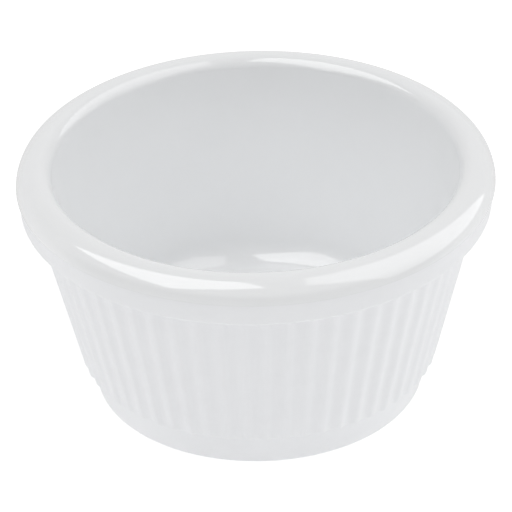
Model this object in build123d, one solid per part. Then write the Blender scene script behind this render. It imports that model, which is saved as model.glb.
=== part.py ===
from build123d import *
import os
from math import cos, pi, radians, sin, sqrt, tan

# Fluted ramekin, lengths in millimetres and angles in degrees.
# The origin is the middle of the base, the table is z = 0 and the mouth looks up +Z.

# Overall
rim_diameter = 82.6
overall_height = 43.6

# Rim: a full round roll above an upright skirt
roll_radius = 3.8            # outer side of the roll, from the crown down to the parting line
lip_radius = 2.4             # inner side of the roll, from the crown down into the bowl
skirt_height = 4.2           # parting line down to the flat underside
skirt_draft = 4.0
skirt_edge_radius = 0.6
rim_overhang = 2.4           # skirt's lower edge out past the crests of the flutes

# Fluted wall
wall_draft = 13.5
flute_count = 60
flute_depth = 0.5            # crest to groove floor, at the top of the wall
crest_share = 0.4            # share of each flute's curve that is rounded crest, not groove
cove_radius = 2.6            # hollow corner between the wall's core and the rim's underside

# Foot
foot_height = 6.2            # table up to the lower ends of the flutes
foot_draft = 15.6
foot_reveal = 0.5            # foot band set in behind the groove floors
foot_edge_radius = 0.8
foot_ring_width = 3.0        # flat ring that rests on the table
recess_depth = 1.8
recess_draft = 40.0
recess_edge_radius = 0.7
recess_corner_radius = 1.5

# Bowl
bowl_draft = 10.0
floor_height = 5.4           # table up to the bowl's floor
floor_fillet_radius = 5.0

# Food-side overlay
overlay_thickness = 0.25

# The fluted band laps over a plain core inside the wall
core_setback = 0.8           # groove floor in to the core
lap_depth = 0.5              # core in to the back of the fluted band

rim_radius = rim_diameter / 2
parting_height = overall_height - roll_radius
crown_radius = rim_radius - roll_radius
underside_height = parting_height - skirt_height
skirt_top_radius = rim_radius - overlay_thickness
skirt_bottom_radius = skirt_top_radius - skirt_height * tan(radians(skirt_draft))
crest_top_radius = skirt_bottom_radius - rim_overhang
wall_height = underside_height - foot_height
crest_bottom_radius = crest_top_radius - wall_height * tan(radians(wall_draft))
taper_share = crest_bottom_radius / crest_top_radius
groove_top_radius = crest_top_radius - flute_depth
groove_bottom_radius = groove_top_radius * taper_share
foot_top_radius = groove_bottom_radius - foot_reveal
foot_bottom_radius = foot_top_radius - foot_height * tan(radians(foot_draft))
foot_edge_length = foot_edge_radius * tan(radians(90 - foot_draft) / 2)
recess_radius = foot_bottom_radius - foot_edge_length - foot_ring_width
recess_top_radius = recess_radius - recess_depth * tan(radians(recess_draft))


def section(edges):
    # face in the XZ plane, from a closed run of (radius, height) edges
    return Plane.XZ * make_face(edges)


def arc(centre, radius, start_angle, end_angle):
    # angles are counted from the outward direction, up being 90
    sweep = end_angle - start_angle
    return CenterArc(centre, radius, start_angle, sweep)


def food_side(inset):
    # the food side from the middle of the floor out to the parting line, set in below its surface
    lip_centre = (crown_radius, overall_height - lip_radius)
    roll_centre = (crown_radius, parting_height)
    wall_angle = 180 - bowl_draft
    run_down = radians(bowl_draft)
    wall_top = (
        crown_radius - lip_radius * cos(run_down),
        lip_centre[1] + lip_radius * sin(run_down),
    )
    fillet_height = floor_height + floor_fillet_radius
    wall_fall = wall_top[1] - fillet_height + floor_fillet_radius * sin(run_down)
    fillet_centre = (
        wall_top[0] - wall_fall * tan(run_down) - floor_fillet_radius * cos(run_down),
        fillet_height,
    )
    floor = Line((0, floor_height - inset), (fillet_centre[0], floor_height - inset))
    fillet_arc = arc(fillet_centre, floor_fillet_radius + inset, -90, -bowl_draft)
    lip = arc(lip_centre, lip_radius - inset, wall_angle, 90)
    bowl_wall = Line(fillet_arc @ 1, lip @ 0)
    roll = arc(roll_centre, roll_radius - inset, 90, 0)
    return [floor, fillet_arc, bowl_wall, lip, roll]


def outer_side():
    # the outside from the parting line down round the foot and in to the middle of the base
    core_top_radius = groove_top_radius - core_setback
    core_bottom_radius = groove_bottom_radius - core_setback
    return FilletPolyline(
        (skirt_top_radius, parting_height),
        (skirt_bottom_radius, underside_height),
        (core_top_radius, underside_height),
        (core_bottom_radius, foot_height),
        (foot_top_radius, foot_height),
        (foot_bottom_radius, 0),
        (recess_radius, 0),
        (recess_top_radius, recess_depth),
        (0, recess_depth),
        radius=[
            skirt_edge_radius,
            cove_radius,
            0,
            0,
            foot_edge_radius,
            recess_edge_radius,
            recess_corner_radius,
        ],
    )


def flute_section(crest_radius):
    # one ring of rounded crests and grooves that run into each other without a corner
    half_turn = pi / flute_count
    depth = flute_depth * crest_radius / crest_top_radius
    half_pitch = crest_radius * sin(half_turn)
    curve_total = (half_pitch**2 + depth**2) / (2 * depth)
    crest_curve = crest_share * curve_total
    crest_centre = crest_radius - crest_curve
    floor_radius = crest_radius - depth
    chord = crest_centre * cos(half_turn)
    groove_curve = (
        crest_curve**2 - crest_centre**2 - floor_radius**2 + 2 * chord * floor_radius
    ) / (2 * (floor_radius - chord - crest_curve))
    groove_centre = floor_radius + groove_curve
    across = groove_centre * sin(half_turn)
    along = groove_centre * cos(half_turn) - crest_centre
    reach = sqrt(across**2 + along**2)
    meet_x = crest_centre + along / reach * crest_curve
    meet_y = across / reach * crest_curve
    crest = ThreePointArc((meet_x, -meet_y), (crest_radius, 0), (meet_x, meet_y))
    next_meet = Vector(meet_x, -meet_y).rotate(Axis.Z, 360 / flute_count)
    floor_point = Vector(floor_radius, 0).rotate(Axis.Z, 180 / flute_count)
    groove = ThreePointArc((meet_x, meet_y), floor_point, next_meet)
    edges = []
    for flute in range(flute_count):
        turn = Rot(Z=flute * 360 / flute_count)
        edges.append(turn * crest)
        edges.append(turn * groove)
    return make_face(edges)


def fluted_band():
    lower = Pos(Z=foot_height) * flute_section(crest_bottom_radius)
    upper = Pos(Z=underside_height) * flute_section(crest_top_radius)
    band = loft([lower, upper], ruled=True)
    back_setback = core_setback + lap_depth
    back_run = [
        (0, foot_height),
        (groove_bottom_radius - back_setback, foot_height),
        (groove_top_radius - back_setback, underside_height),
        (0, underside_height),
    ]
    back = revolve(section(Polyline(*back_run, close=True).edges()), Axis.Z)
    return band - back


def moulded_body():
    inner = food_side(overlay_thickness)
    outer = outer_side()
    axis_line = Line((0, recess_depth), (0, floor_height - overlay_thickness))
    profile = section([*inner, *outer.edges(), axis_line])
    return revolve(profile, Axis.Z) + fluted_band()


def glaze_overlay():
    face_run = food_side(0)
    back_run = food_side(overlay_thickness)
    axis_line = Line(back_run[0] @ 0, face_run[0] @ 0)
    edge_line = Line(back_run[-1] @ 1, face_run[-1] @ 1)
    profile = section([*face_run, *back_run, axis_line, edge_line])
    return revolve(profile, Axis.Z)


os.makedirs("parts", exist_ok=True)
export_step(moulded_body(), "parts/moulded_body.step")
export_step(glaze_overlay(), "parts/glaze_overlay.step")
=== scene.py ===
import math

import bmesh
import bpy
from mathutils import Matrix, Vector


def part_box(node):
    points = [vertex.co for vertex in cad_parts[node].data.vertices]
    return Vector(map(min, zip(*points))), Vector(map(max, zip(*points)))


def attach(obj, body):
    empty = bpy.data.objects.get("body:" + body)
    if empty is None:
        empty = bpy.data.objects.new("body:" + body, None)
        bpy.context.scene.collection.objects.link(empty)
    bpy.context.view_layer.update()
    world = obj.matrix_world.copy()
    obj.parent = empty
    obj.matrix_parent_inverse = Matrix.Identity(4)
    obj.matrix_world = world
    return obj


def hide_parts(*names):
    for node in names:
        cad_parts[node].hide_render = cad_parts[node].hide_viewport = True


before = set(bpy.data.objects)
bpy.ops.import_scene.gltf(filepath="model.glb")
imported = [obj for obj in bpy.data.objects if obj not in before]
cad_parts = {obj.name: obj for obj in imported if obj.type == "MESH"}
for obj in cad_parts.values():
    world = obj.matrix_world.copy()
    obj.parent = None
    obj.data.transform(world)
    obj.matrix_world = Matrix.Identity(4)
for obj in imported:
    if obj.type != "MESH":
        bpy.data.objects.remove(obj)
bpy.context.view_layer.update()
mm = 0.001
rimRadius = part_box("glaze_overlay")[1].x / mm
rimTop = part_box("glaze_overlay")[1].z / mm
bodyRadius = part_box("moulded_body")[1].x / mm
print("frame loaded, rim", round(2 * rimRadius, 2), "mm across and", round(rimTop, 2), "mm high")


def arcRun(centre, radius, startAngle, endAngle, steps):
    # (radius, height) points along an arc, 0 pointing outwards and 90 up
    points = []
    for step in range(steps + 1):
        angle = math.radians(startAngle + (endAngle - startAngle) * step / steps)
        points.append((centre[0] + radius * math.cos(angle), centre[1] + radius * math.sin(angle)))
    return points


def straightRun(start, end, steps):
    # points between two places, both ends left out
    points = []
    for step in range(1, steps):
        share = step / steps
        points.append((start[0] + (end[0] - start[0]) * share, start[1] + (end[1] - start[1]) * share))
    return points


def pullRing(ring, nextRing):
    # the selected open edge goes up or down to the next ring and is scaled to its radius
    move = {"value": (0, 0, (nextRing[1] - ring[1]) * mm)}
    bpy.ops.mesh.extrude_region_move(TRANSFORM_OT_translate=move)
    scale = nextRing[0] / ring[0]
    bpy.ops.transform.resize(value=(scale, scale, 1), center_override=(0, 0, 0))


def selectWhere(rule):
    # selects the vertices whose (radius, height, angle) in mm and degrees pass the rule
    mesh = bmesh.from_edit_mesh(bpy.context.object.data)
    for vertex in mesh.verts:
        place = vertex.co / mm
        angle = math.degrees(math.atan2(place.y, place.x))
        vertex.select = rule(math.hypot(place.x, place.y), place.z, angle)
    mesh.select_flush(True)
    bmesh.update_edit_mesh(bpy.context.object.data)


def finishPiece(piece, smoothAngle):
    # place goes into the mesh, then smooth shading up to an angle
    bpy.ops.object.select_all(action="DESELECT")
    piece.select_set(True)
    bpy.context.view_layer.objects.active = piece
    bpy.ops.object.transform_apply(location=True, rotation=True, scale=True)
    bpy.ops.object.shade_smooth_by_angle(angle=math.radians(smoothAngle))
    print(piece.name, len(piece.data.polygons), "faces")


bowl = {
    "rollRadius": 3.8,       # crown down to the parting line
    "lipRadius": 2.4,        # crown down into the bowl
    "bowlDraft": 10.0,
    "floorHeight": 5.4,
    "floorFillet": 5.0,
    "thickness": 0.25,       # overlay, mm
    "centreDisc": 4.0,       # the disc that the rings are pulled out of
    "around": 480,           # vertices round each ring
    "smoothAngle": 40,
    "floorSteps": 2,         # rings on each stretch, at the moulding's fineness
    "filletSteps": 14,
    "wallSteps": 4,
    "lipSteps": 9,
    "rollSteps": 12,
    "overlayFineness": 2,    # the glossy side has this many times as many rings
}
partingHeight = rimTop - bowl["rollRadius"]
crownRadius = rimRadius - bowl["rollRadius"]


def foodSide(inset, fine):
    # the food side from the floor out to the parting line, set in below the surface by inset,
    # with fine times as many rings
    lean = math.radians(bowl["bowlDraft"])
    lipCentre = (crownRadius, rimTop - bowl["lipRadius"])
    rollCentre = (crownRadius, partingHeight)
    wallTop = (
        lipCentre[0] - bowl["lipRadius"] * math.cos(lean),
        lipCentre[1] + bowl["lipRadius"] * math.sin(lean),
    )
    filletHeight = bowl["floorHeight"] + bowl["floorFillet"]
    wallFall = wallTop[1] - filletHeight + bowl["floorFillet"] * math.sin(lean)
    filletCentre = (
        wallTop[0] - wallFall * math.tan(lean) - bowl["floorFillet"] * math.cos(lean),
        filletHeight,
    )
    floorStart = (bowl["centreDisc"], bowl["floorHeight"] - inset)
    filletSteps = bowl["filletSteps"] * fine
    fillet = arcRun(filletCentre, bowl["floorFillet"] + inset, -90, -bowl["bowlDraft"], filletSteps)
    lip = arcRun(lipCentre, bowl["lipRadius"] - inset, 180 - bowl["bowlDraft"], 90, bowl["lipSteps"] * fine)
    roll = arcRun(rollCentre, bowl["rollRadius"] - inset, 90, 0, bowl["rollSteps"] * fine)
    run = [floorStart] + straightRun(floorStart, fillet[0], bowl["floorSteps"] * fine) + fillet
    run += straightRun(fillet[-1], lip[0], bowl["wallSteps"] * fine) + lip + roll[1:]
    return run


def modelOverlay():
    # glossy food-side layer: a disc pulled out ring by ring, then given its thickness
    run = foodSide(0, bowl["overlayFineness"])
    bpy.ops.object.select_all(action="DESELECT")
    bpy.ops.mesh.primitive_circle_add(
        vertices=bowl["around"],
        radius=run[0][0] * mm,
        fill_type="TRIFAN",
        location=(0, 0, run[0][1] * mm),
    )
    overlay = bpy.context.object
    overlay.name = "glazeOverlay"
    bpy.ops.object.transform_apply(location=True)
    bpy.ops.object.mode_set(mode="EDIT")
    bpy.ops.mesh.select_mode(type="EDGE")
    bpy.ops.mesh.select_all(action="DESELECT")
    bpy.ops.mesh.select_non_manifold()
    for ring, nextRing in zip(run, run[1:]):
        pullRing(ring, nextRing)
    bpy.ops.mesh.select_all(action="SELECT")
    bpy.ops.mesh.normals_make_consistent(inside=False)
    bpy.ops.object.mode_set(mode="OBJECT")
    floorUp = overlay.data.polygons[0].normal.z > 0
    layer = overlay.modifiers.new("Thickness", "SOLIDIFY")
    layer.thickness = bowl["thickness"] * mm
    layer.offset = -1 if floorUp else 1
    layer.use_even_offset = True
    layer.use_flip_normals = not floorUp
    bpy.ops.object.modifier_apply(modifier=layer.name)
    finishPiece(overlay, bowl["smoothAngle"])
    return overlay


outside = {
    "skirtHeight": 4.2,
    "skirtDraft": 4.0,
    "skirtEdge": 0.6,
    "rimOverhang": 2.4,
    "wallDraft": 13.5,
    "coreSetback": 0.8,
    "coveRadius": 2.6,
    "footHeight": 6.2,
    "footDraft": 15.6,
    "footReveal": 0.5,
    "footEdge": 0.8,
    "footHollow": 0.25,      # small hollow corner under the ends of the flutes
    "ringWidth": 3.0,
    "recessDepth": 1.8,
    "recessDraft": 40.0,
    "recessEdge": 0.7,
    "recessCorner": 1.5,
    "centreDisc": 4.0,       # the flat middle of the recess
    "smoothAngle": 50,
    "recessSteps": 3,        # rings on each stretch, from the recess up to the parting line
    "edgeSteps": 5,
    "ringSteps": 2,
    "footEdgeSteps": 7,
    "footSteps": 4,
    "hollowSteps": 3,
    "wallSteps": 10,
    "coveSteps": 10,
    "skirtEdgeSteps": 6,
    "skirtSteps": 3,
}
flute = {
    "count": 60,
    "depth": 0.5,
    "crestShare": 0.4,
    "endRound": 0.45,        # rounded lower end of each flute
    "columns": 12,           # vertices across one flute
    "roundSteps": 6,
    "near": 0.02,            # mm, how closely a vertex is picked by its place
    "nearAngle": 0.1,
    "seamGap": 0.002,        # mm, closer vertices are one
}

underside = partingHeight - outside["skirtHeight"]
skirtFoot = bodyRadius - outside["skirtHeight"] * math.tan(math.radians(outside["skirtDraft"]))
crestTop = skirtFoot - outside["rimOverhang"]
wallSlope = math.tan(math.radians(outside["wallDraft"]))


def crestAt(height):
    # radius of the flutes' crests at this height
    return crestTop - (underside - height) * wallSlope


def fluteShares():
    # radius of each column of vertices, from the crest to the groove, as a share of the crest's radius
    halfTurn = math.pi / flute["count"]
    halfPitch = crestTop * math.sin(halfTurn)
    curveTotal = (halfPitch**2 + flute["depth"] ** 2) / (2 * flute["depth"])
    crestCurve = flute["crestShare"] * curveTotal
    crestCentre = crestTop - crestCurve
    floorRadius = crestTop - flute["depth"]
    chord = crestCentre * math.cos(halfTurn)
    grooveCurve = (crestCurve**2 - crestCentre**2 - floorRadius**2 + 2 * chord * floorRadius) / (
        2 * (floorRadius - chord - crestCurve)
    )
    grooveCentre = floorRadius + grooveCurve
    across = grooveCentre * math.sin(halfTurn)
    along = grooveCentre * math.cos(halfTurn) - crestCentre
    reach = math.hypot(across, along)
    meetAngle = math.atan2(across / reach * crestCurve, crestCentre + along / reach * crestCurve)
    shares = []
    columns = flute["columns"] // 2
    for column in range(columns + 1):
        angle = halfTurn * column / columns
        if angle < meetAngle:
            sideways = crestCentre * math.sin(angle)
            radius = crestCentre * math.cos(angle) + math.sqrt(crestCurve**2 - sideways**2)
        else:
            sideways = grooveCentre * math.sin(halfTurn - angle)
            radius = grooveCentre * math.cos(halfTurn - angle) - math.sqrt(grooveCurve**2 - sideways**2)
        shares.append(radius / crestTop)
    return shares


def outsideRun():
    # (height, radius of each column) from the recess under the base up to the parting line
    shares = fluteShares()
    footLean = math.radians(outside["footDraft"])
    grooveFoot = crestAt(outside["footHeight"]) * shares[-1]
    footTop = grooveFoot - outside["footReveal"]
    footBottom = footTop - outside["footHeight"] * math.tan(footLean)
    footEdgeLength = outside["footEdge"] * math.tan((math.pi / 2 - footLean) / 2)
    ringOuter = footBottom - footEdgeLength
    recessEdgeRadius = ringOuter - outside["ringWidth"]
    recessSlant = 90 - outside["recessDraft"]
    recessLean = math.radians(recessSlant)
    edgeLength = outside["recessEdge"] * math.tan(recessLean / 2)
    cornerLength = outside["recessCorner"] * math.tan(recessLean / 2)
    recessTop = recessEdgeRadius - outside["recessDepth"] * math.tan(math.radians(outside["recessDraft"]))
    disc = (outside["centreDisc"], outside["recessDepth"])
    corner = arcRun(
        (recessTop - cornerLength, outside["recessDepth"] - outside["recessCorner"]),
        outside["recessCorner"], 90, 90 - recessSlant, outside["edgeSteps"],
    )
    edge = arcRun(
        (recessEdgeRadius + edgeLength, outside["recessEdge"]),
        outside["recessEdge"], 270 - recessSlant, 270, outside["edgeSteps"],
    )
    footEdge = arcRun(
        (ringOuter, outside["footEdge"]),
        outside["footEdge"], -90, -outside["footDraft"], outside["footEdgeSteps"],
    )
    hollowTop = outside["footHeight"] - outside["footHollow"]
    bandTop = (footTop - outside["footHollow"] * math.tan(footLean), hollowTop)
    hollowCentre = (bandTop[0] + outside["footHollow"], hollowTop)
    hollow = arcRun(hollowCentre, outside["footHollow"], 180, 90, outside["hollowSteps"])
    plain = [disc] + straightRun(disc, corner[0], outside["recessSteps"]) + corner + edge
    plain += straightRun(edge[-1], footEdge[0], outside["ringSteps"]) + footEdge
    plain += straightRun(footEdge[-1], hollow[0], outside["footSteps"]) + hollow
    rings = [(height, [radius] * len(shares)) for radius, height in plain]
    # rounded lower ends of the flutes
    for step in range(flute["roundSteps"] + 1):
        angle = math.pi / 2 * step / flute["roundSteps"]
        height = outside["footHeight"] + flute["endRound"] * (1 - math.cos(angle))
        radii = [crestAt(height) * share - flute["endRound"] * (1 - math.sin(angle)) for share in shares]
        rings.append((height, radii))
    # straight flutes up to the hollow corner under the rim
    coveCentreHeight = underside - outside["coveRadius"]
    coreLean = math.radians(outside["wallDraft"])
    coreAtCove = (crestTop - flute["depth"] - outside["coreSetback"]) - outside["coveRadius"] * wallSlope
    coveCentre = coreAtCove + outside["coveRadius"] / math.cos(coreLean)
    wallStart = rings[-1][0]
    for step in range(1, outside["wallSteps"] + 1):
        height = wallStart + (coveCentreHeight - wallStart) * step / outside["wallSteps"]
        rings.append((height, [crestAt(height) * share for share in shares]))
    for step in range(1, outside["coveSteps"] + 1):
        angle = math.pi / 2 * step / outside["coveSteps"]
        height = coveCentreHeight + outside["coveRadius"] * math.sin(angle)
        cove = coveCentre - outside["coveRadius"] * math.cos(angle)
        rings.append((height, [max(crestAt(height) * share, cove) for share in shares]))
    skirtLean = math.radians(outside["skirtDraft"])
    skirtEdgeLength = outside["skirtEdge"] * math.tan((math.pi / 2 + skirtLean) / 2)
    skirtEdge = arcRun(
        (skirtFoot - skirtEdgeLength, underside + outside["skirtEdge"]),
        outside["skirtEdge"], -90, -outside["skirtDraft"], outside["skirtEdgeSteps"],
    )
    skirtTop = (bodyRadius, partingHeight)
    plain = skirtEdge + straightRun(skirtEdge[-1], skirtTop, outside["skirtSteps"]) + [skirtTop]
    rings += [(height, [radius] * len(shares)) for radius, height in plain]
    return rings


def modelBody():
    # one flute's slice of the moulding, pulled up ring by ring, then copied round the axis
    rings = outsideRun()
    inner = foodSide(bowl["thickness"], 1)[::-1]
    rings += [(height, [radius] * (flute["columns"] // 2 + 1)) for radius, height in inner[1:]]
    sliceAngle = 360 / flute["count"]
    columnAngle = sliceAngle / flute["columns"]
    bpy.ops.object.select_all(action="DESELECT")
    bpy.ops.mesh.primitive_circle_add(
        vertices=flute["count"] * flute["columns"],
        radius=rings[0][1][0] * mm,
        fill_type="NOTHING",
        location=(0, 0, rings[0][0] * mm),
    )
    body = bpy.context.object
    body.name = "mouldedBody"
    bpy.ops.object.transform_apply(location=True)
    bpy.ops.object.mode_set(mode="EDIT")
    bpy.ops.mesh.select_mode(type="VERT")
    selectWhere(lambda radius, height, angle: abs(angle) > (sliceAngle + columnAngle) / 2)
    bpy.ops.mesh.delete(type="VERT")
    bpy.ops.mesh.select_all(action="SELECT")
    for (height, radii), (nextHeight, nextRadii) in zip(rings, rings[1:]):
        pullRing((radii[0], height), (nextRadii[0], nextHeight))
    # the crest's column has its place, and the others are scaled to theirs, ring by ring
    near = flute["near"]
    for height, radii in rings:
        if min(radii) == max(radii):
            continue
        for column, radius in enumerate(radii[1:], 1):
            columnPlace = column * columnAngle
            selectWhere(
                lambda r, h, a: abs(h - height) < near
                and abs(r - radii[0]) < near
                and abs(abs(a) - columnPlace) < flute["nearAngle"]
            )
            scale = radius / radii[0]
            bpy.ops.transform.resize(value=(scale, scale, 1), center_override=(0, 0, 0))
    bpy.ops.mesh.select_all(action="SELECT")
    bpy.ops.mesh.spin(
        steps=flute["count"] - 1,
        dupli=True,
        angle=math.radians(360 - sliceAngle),
        center=(0, 0, 0),
        axis=(0, 0, 1),
    )
    bpy.ops.mesh.select_all(action="SELECT")
    bpy.ops.mesh.remove_doubles(threshold=flute["seamGap"] * mm)
    bpy.ops.mesh.select_all(action="DESELECT")
    bpy.ops.mesh.select_non_manifold()
    bpy.ops.mesh.fill_holes(sides=0)
    bpy.ops.mesh.select_face_by_sides(number=4, type="GREATER")
    bpy.ops.mesh.poke()
    bpy.ops.mesh.select_all(action="SELECT")
    bpy.ops.mesh.normals_make_consistent(inside=False)
    bpy.ops.object.mode_set(mode="OBJECT")
    finishPiece(body, outside["smoothAngle"])
    return body


glazeOverlay = modelOverlay()
mouldedBody = modelBody()
for piece, node, slotName in (
    (glazeOverlay, "glaze_overlay", "overlay"),
    (mouldedBody, "moulded_body", "moulding"),
):
    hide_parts(node)
    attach(piece, "root")


def linearColour(hexValue):
    # sRGB hex to linear RGBA
    channels = []
    for start in (0, 2, 4):
        value = int(hexValue[start:start + 2], 16) / 255
        channels.append(value / 12.92 if value <= 0.04045 else ((value + 0.055) / 1.055) ** 2.4)
    return (*channels, 1)


def addNode(owner, kind, settings=None, links=None):
    # one node of a material or the world, with its settings, its input values and what feeds them
    tree = owner.node_tree
    node = tree.nodes.new(kind)
    for name, value in (settings or {}).items():
        if isinstance(name, int) or name in node.inputs:
            node.inputs[name].default_value = value
        else:
            setattr(node, name, value)
    for name, source in (links or {}).items():
        tree.links.new(source, node.inputs[name])
    return node


def patternScale(size):
    # texture scale for features of this size in mm
    return 1 / (size * mm)


def softNoise(material, place, size, detail=2.0):
    # factor of an even, cloudy pattern
    noise = addNode(
        material, "ShaderNodeTexNoise",
        {"Scale": patternScale(size), "Detail": detail, "Roughness": 0.5},
        {"Vector": place.outputs["Object"]},
    )
    return noise.outputs["Fac"]


def spread(material, factor, low, high):
    # stretches a pattern's middle range to run from low to high
    ranged = addNode(
        material, "ShaderNodeMapRange",
        {"From Min": 0.3, "From Max": 0.7, "To Min": low, "To Max": high},
        {"Value": factor},
    )
    return ranged.outputs["Result"]


overlayFinish = {
    "white": "FAFBFC",
    "shade": "F8F9FA",
    "cloudSize": 11.0,       # mm, faint clouds in the pressed pulp sheet
    "cloudShare": 0.7,       # how much of the change from white to shade is clouds, and how much fibres
    "fibreSize": 0.7,        # cellulose fibres, drawn coarser than the real 0.1 mm so that they can show
    "fibreShare": 0.3,
    "rippleSize": 7.0,       # slow ripple left by hand polishing of the mould
    "rippleHeight": 0.003,
    "gloss": (0.05, 0.09),   # roughness at both ends of the clouds
    "ior": 1.5,
    "clearGloss": 0.02,
    "clearIor": 1.6,
    "wallGloss": 0.26,       # the mould's steep side is polished less than its floor and rim
    "wallCoat": 0.15,        # what the clear layer's gloss comes to there
    "wallStart": (27.4, 31.0),      # mm from the axis, where the floor's gloss fades out
    "wallEnd": (35.0, 36.1),        # and where the rim's begins
}


def melamineOverlay():
    # clear melamine resin pressed on as a second layer against a polished mould:
    # a clean, slightly cool white under a hard, sharp gloss that bends reflections a little
    material = bpy.data.materials.new("melamineOverlay")
    material.use_nodes = True
    shader = material.node_tree.nodes["Principled BSDF"]
    place = addNode(material, "ShaderNodeTexCoord")
    cloudNoise = softNoise(material, place, overlayFinish["cloudSize"])
    clouds = spread(material, cloudNoise, 0.0, overlayFinish["cloudShare"])
    fibreNoise = softNoise(material, place, overlayFinish["fibreSize"], detail=4.0)
    fibres = spread(material, fibreNoise, 0.0, overlayFinish["fibreShare"])
    depth = addNode(material, "ShaderNodeMath", {"operation": "ADD"}, {0: clouds, 1: fibres})
    white = addNode(
        material, "ShaderNodeMix",
        {
            "data_type": "RGBA",
            6: linearColour(overlayFinish["white"]),
            7: linearColour(overlayFinish["shade"]),
        },
        {0: depth.outputs["Value"]},
    )
    ripple = addNode(
        material, "ShaderNodeBump",
        {"Strength": 1.0, "Distance": overlayFinish["rippleHeight"] * mm},
        {"Height": softNoise(material, place, overlayFinish["rippleSize"], detail=0.0)},
    )
    polishNoise = softNoise(material, place, overlayFinish["cloudSize"], detail=3.0)
    polish = spread(material, polishNoise, *overlayFinish["gloss"])
    # by distance from the ramekin's axis: floor and rim keep their gloss, the wall between them is duller
    level = addNode(
        material, "ShaderNodeVectorMath", {"operation": "MULTIPLY", 1: (1, 1, 0)},
        {0: place.outputs["Object"]},
    )
    reach = addNode(material, "ShaderNodeVectorMath", {"operation": "LENGTH"}, {0: level.outputs["Vector"]})
    edges = []
    for name, start, end in (("wallStart", 0.0, 1.0), ("wallEnd", 1.0, 0.0)):
        low, high = overlayFinish[name]
        edges.append(addNode(
            material, "ShaderNodeMapRange",
            {
                "interpolation_type": "SMOOTHSTEP",
                "From Min": low * mm, "From Max": high * mm, "To Min": start, "To Max": end,
            },
            {"Value": reach.outputs["Value"]},
        ))
    onWall = addNode(
        material, "ShaderNodeMath", {"operation": "MULTIPLY"},
        {0: edges[0].outputs["Result"], 1: edges[1].outputs["Result"]},
    )
    sheen = addNode(
        material, "ShaderNodeMix", {"data_type": "FLOAT", 3: overlayFinish["wallGloss"]},
        {0: onWall.outputs["Value"], 2: polish},
    )
    coat = addNode(
        material, "ShaderNodeMapRange", {"To Min": 1.0, "To Max": overlayFinish["wallCoat"]},
        {"Value": onWall.outputs["Value"]},
    )
    links = material.node_tree.links
    links.new(white.outputs[2], shader.inputs["Base Color"])
    links.new(sheen.outputs[0], shader.inputs["Roughness"])
    links.new(coat.outputs["Result"], shader.inputs["Coat Weight"])
    links.new(ripple.outputs["Normal"], shader.inputs["Normal"])
    links.new(ripple.outputs["Normal"], shader.inputs["Coat Normal"])
    shader.inputs["IOR"].default_value = overlayFinish["ior"]
    shader.inputs["Coat IOR"].default_value = overlayFinish["clearIor"]
    shader.inputs["Coat Roughness"].default_value = overlayFinish["clearGloss"]
    return material


mouldingFinish = {
    "white": "F8F9FB",
    "shade": "F5F6F8",
    "mottleSize": 3.5,       # mm, faint mottling of the filled compound
    "mottleShare": 0.7,
    "fibreSize": 0.7,        # filler fibres, drawn coarser than the real 0.1 mm so that they can show
    "fibreShare": 0.3,
    "grainSize": 0.5,        # satin grain of the mould, drawn coarser than the real 0.05 mm
    "grainHeight": 0.0012,
    "rippleSize": 9.0,
    "rippleHeight": 0.004,
    "gloss": (0.30, 0.38),
    "ior": 1.6,
    "wornGloss": 0.62,       # foot ring, rubbed dull by tables and trays
    "wornShade": "ECEDEE",
    "wornHeight": (0.02, 0.30),     # mm above the table, where the rubbing fades out
    "rubSize": 1.2,
    "rubShares": (0.35, 1.0),
}


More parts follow.
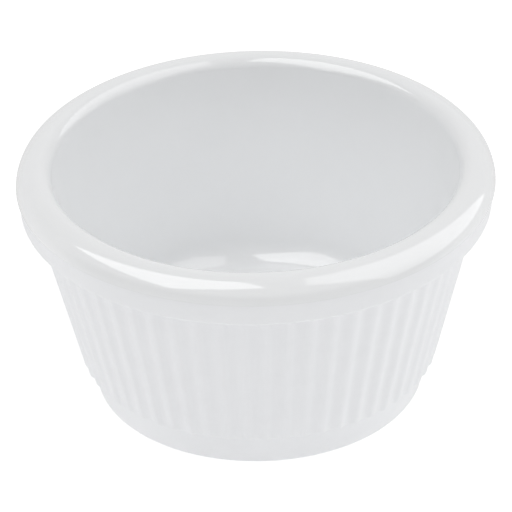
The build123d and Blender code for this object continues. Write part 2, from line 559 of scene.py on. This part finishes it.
def melamineMoulding():
    # cellulose-filled melamine compound, compression moulded in a satin mould:
    # a soft semi-gloss white with very faint mottling, rubbed dull where it stands
    material = bpy.data.materials.new("melamineMoulding")
    material.use_nodes = True
    shader = material.node_tree.nodes["Principled BSDF"]
    place = addNode(material, "ShaderNodeTexCoord")
    mottleNoise = softNoise(material, place, mouldingFinish["mottleSize"])
    mottle = spread(material, mottleNoise, 0.0, mouldingFinish["mottleShare"])
    fibreNoise = softNoise(material, place, mouldingFinish["fibreSize"], detail=4.0)
    fibres = spread(material, fibreNoise, 0.0, mouldingFinish["fibreShare"])
    depth = addNode(material, "ShaderNodeMath", {"operation": "ADD"}, {0: mottle, 1: fibres})
    white = addNode(
        material, "ShaderNodeMix",
        {
            "data_type": "RGBA",
            6: linearColour(mouldingFinish["white"]),
            7: linearColour(mouldingFinish["shade"]),
        },
        {0: depth.outputs["Value"]},
    )
    axes = addNode(material, "ShaderNodeSeparateXYZ", links={"Vector": place.outputs["Object"]})
    low, high = mouldingFinish["wornHeight"]
    nearTable = addNode(
        material, "ShaderNodeMapRange",
        {
            "interpolation_type": "SMOOTHSTEP",
            "From Min": low * mm, "From Max": high * mm, "To Min": 1.0, "To Max": 0.0,
        },
        {"Value": axes.outputs["Z"]},
    )
    rubNoise = softNoise(material, place, mouldingFinish["rubSize"], detail=5.0)
    rubs = spread(material, rubNoise, *mouldingFinish["rubShares"])
    worn = addNode(
        material, "ShaderNodeMath", {"operation": "MULTIPLY"},
        {0: nearTable.outputs["Result"], 1: rubs},
    )
    colour = addNode(
        material, "ShaderNodeMix",
        {"data_type": "RGBA", 7: linearColour(mouldingFinish["wornShade"])},
        {0: worn.outputs["Value"], 6: white.outputs[2]},
    )
    satinNoise = softNoise(material, place, mouldingFinish["mottleSize"], detail=3.0)
    satin = spread(material, satinNoise, *mouldingFinish["gloss"])
    sheen = addNode(
        material, "ShaderNodeMix", {"data_type": "FLOAT", 3: mouldingFinish["wornGloss"]},
        {0: worn.outputs["Value"], 2: satin},
    )
    ripple = addNode(
        material, "ShaderNodeBump",
        {"Strength": 1.0, "Distance": mouldingFinish["rippleHeight"] * mm},
        {"Height": softNoise(material, place, mouldingFinish["rippleSize"], detail=0.0)},
    )
    grainNoise = softNoise(material, place, mouldingFinish["grainSize"])
    grain = addNode(
        material, "ShaderNodeBump",
        {"Strength": 1.0, "Distance": mouldingFinish["grainHeight"] * mm},
        {"Height": grainNoise, "Normal": ripple.outputs["Normal"]},
    )
    links = material.node_tree.links
    links.new(colour.outputs[2], shader.inputs["Base Color"])
    links.new(sheen.outputs[0], shader.inputs["Roughness"])
    links.new(grain.outputs["Normal"], shader.inputs["Normal"])
    shader.inputs["IOR"].default_value = mouldingFinish["ior"]
    return material


glazeOverlay.data.materials.append(melamineOverlay())
mouldedBody.data.materials.append(melamineMoulding())
print("materials made")

studio = {
    "floorSize": 6.0,
    "floorColour": "C4C4C4",
    "floorRoughness": 0.9,
    "floorGlow": 0.61,         # the table is a lit white sheet
    "roomAbove": 0.69,         # brightness of the room overhead
    "roomBehind": 0.74,        # white paper low down behind the object and at its sides
    "roomInFront": 0.05,       # the darker side that the camera stands on
    "frontToBack": (-0.4, 0.4),     # where the room turns from one to the other
    "lowToHigh": (0.1, 0.5),
    "lampGap": 0.01,           # m between a soft box's two lamps, which in one place would hide one another
    "turn": -1.33,             # camera and soft boxes stand this many degrees round from a crest
}
leftPanel = {
    "middle": (-0.601, -0.453, 1.853),
    "facing": (0.835, 0.257, -0.486),
    "side": (-0.174, 0.962, 0.21),
    "size": (1.67, 2.14),
    "light": 0.62,
    "shine": 1.75,
}
rightPanel = {
    "middle": (1.154, -0.335, 1.599),
    "facing": (-0.946, -0.157, -0.283),
    "side": (0.208, -0.965, -0.16),
    "size": (2.26, 3.26),
    "light": 0.34,
    "shine": 0.97,
}
studioTurn = Matrix.Rotation(math.radians(studio["turn"]), 4, "Z")


def layFloor():
    bpy.ops.object.select_all(action="DESELECT")
    bpy.ops.mesh.primitive_plane_add(size=studio["floorSize"], location=(0, 0, 0))
    floor = bpy.context.object
    floor.name = "studioFloor"
    material = bpy.data.materials.new("paperSweep")
    material.use_nodes = True
    shader = material.node_tree.nodes["Principled BSDF"]
    shader.inputs["Base Color"].default_value = linearColour(studio["floorColour"])
    shader.inputs["Roughness"].default_value = studio["floorRoughness"]
    shader.inputs["Emission Color"].default_value = (1, 1, 1, 1)
    shader.inputs["Emission Strength"].default_value = studio["floorGlow"]
    material.cycles.emission_sampling = "NONE"    # an even glow is less noisy without aimed rays
    floor.data.materials.append(material)
    floor.visible_glossy = False    # the rim in the photograph mirrors a darker table than this one


def hangPanel(name, panel):
    # a flat soft box, placed and turned by its middle, the way it faces and the run of its first side;
    # "light" is what it casts and "shine" what a glossy surface mirrors of it
    back = -Vector(panel["facing"]).normalized()
    up = back.cross(Vector(panel["side"])).normalized()
    side = up.cross(back)
    axes = Matrix((side, up, back)).transposed().to_4x4()
    for part, step in (("light", 0), ("shine", studio["lampGap"])):
        light = bpy.data.lights.new(name + part.capitalize(), "AREA")
        light.shape = "RECTANGLE"
        light.size, light.size_y = panel["size"]
        light.energy = panel[part] * light.size * light.size_y * math.pi
        lamp = bpy.data.objects.new(light.name, light)
        bpy.context.scene.collection.objects.link(lamp)
        lamp.matrix_world = studioTurn @ Matrix.Translation(Vector(panel["middle"]) - back * step) @ axes
        lamp.visible_camera = False
        lamp.visible_diffuse = part == "light"
        lamp.visible_glossy = part == "shine"


def lightStudio():
    world = bpy.data.worlds.new("softRoom")
    world.use_nodes = True
    place = addNode(world, "ShaderNodeTexCoord")
    axes = addNode(world, "ShaderNodeSeparateXYZ", links={"Vector": place.outputs["Generated"]})
    front, rear = studio["frontToBack"]
    low = addNode(
        world, "ShaderNodeMapRange",
        {
            "interpolation_type": "SMOOTHSTEP", "From Min": front, "From Max": rear,
            "To Min": studio["roomInFront"], "To Max": studio["roomBehind"],
        },
        {"Value": axes.outputs["Y"]},
    )
    lower, upper = studio["lowToHigh"]
    height = addNode(
        world, "ShaderNodeMapRange",
        {"interpolation_type": "SMOOTHSTEP", "From Min": lower, "From Max": upper},
        {"Value": axes.outputs["Z"]},
    )
    glow = addNode(
        world, "ShaderNodeMix", {"data_type": "FLOAT", "B": studio["roomAbove"]},
        {"Factor": height.outputs["Result"], "A": low.outputs["Result"]},
    )
    background = world.node_tree.nodes["Background"]
    background.inputs["Color"].default_value = (1, 1, 1, 1)
    world.node_tree.links.new(glow.outputs["Result"], background.inputs["Strength"])
    world.cycles.sampling_method = "NONE"    # an even glow, as on the table
    bpy.context.scene.world = world
    hangPanel("leftPanel", leftPanel)
    hangPanel("rightPanel", rightPanel)


lens = {
    "focal": 259.9,
    "sensor": 36,
    "farthest": 20,            # m
    "place": (-0.01, -548.28, 364.47),
    "aim": (-0.23, 0, 23.87),
    "roll": -1.28,
}


def placeCamera():
    camera = bpy.data.cameras.new("camera")
    camera.lens = lens["focal"]
    camera.sensor_width = lens["sensor"]
    camera.clip_end = lens["farthest"]
    view = bpy.data.objects.new("camera", camera)
    bpy.context.scene.collection.objects.link(view)
    place = Vector(lens["place"]) * mm
    back = (place - Vector(lens["aim"]) * mm).normalized()
    # the photograph leans a little, so the camera turns about its own line of sight
    level = back.to_track_quat("Z", "Y").to_matrix().to_4x4()
    lean = Matrix.Rotation(math.radians(lens["roll"]), 4, back)
    view.matrix_world = studioTurn @ Matrix.Translation(place) @ lean @ level
    bpy.context.scene.camera = view


layFloor()
lightStudio()
placeCamera()
bpy.context.scene.view_settings.view_transform = "Standard"
print("studio lit")
